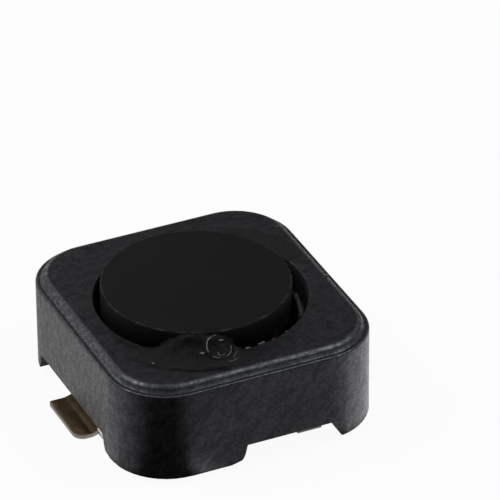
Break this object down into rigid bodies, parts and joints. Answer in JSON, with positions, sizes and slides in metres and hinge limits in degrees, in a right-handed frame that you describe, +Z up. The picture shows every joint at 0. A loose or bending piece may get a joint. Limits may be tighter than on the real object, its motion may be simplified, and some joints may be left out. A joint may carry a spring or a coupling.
{
  "type": "shielded smd inductor",
  "caption": "Low square power inductor: a wound ferrite drum glued into a rounded ferrite shield, with flat sheet-metal solder tabs on opposite sides.",
  "frame": {"origin": "on the board plane, under the middle of the drum", "axes": "+Z up from the board, X through the two solder tabs, Y across them"},
  "size_m": [0.0072, 0.0074, 0.0032],
  "materials": {
    "shield_ferrite": "pressed ferrite, charcoal, fine matte grain",
    "drum_ferrite": "ground ferrite, near black, smooth matte",
    "copper_wire": "enamelled copper, red-brown, glossy",
    "tinned_sheet": "tinned copper-alloy sheet, dull silver with brown stains",
    "solder": "solder, bright satin",
    "adhesive": "set epoxy, dark grey, half gloss",
    "base_adhesive": "set epoxy, blue grey, half gloss"
  },
  "bodies": {
    "root": {"shield_core": "shield_ferrite", "drum_core": "drum_ferrite", "winding": "copper_wire", "terminal_left": "tinned_sheet", "terminal_right": "tinned_sheet", "solder_left": "solder", "solder_right": "solder", "adhesive_front": "adhesive", "adhesive_right": "adhesive", "adhesive_back": "adhesive", "base_adhesive_left": "base_adhesive", "base_adhesive_right": "base_adhesive"}
  },
  "joints": []
}
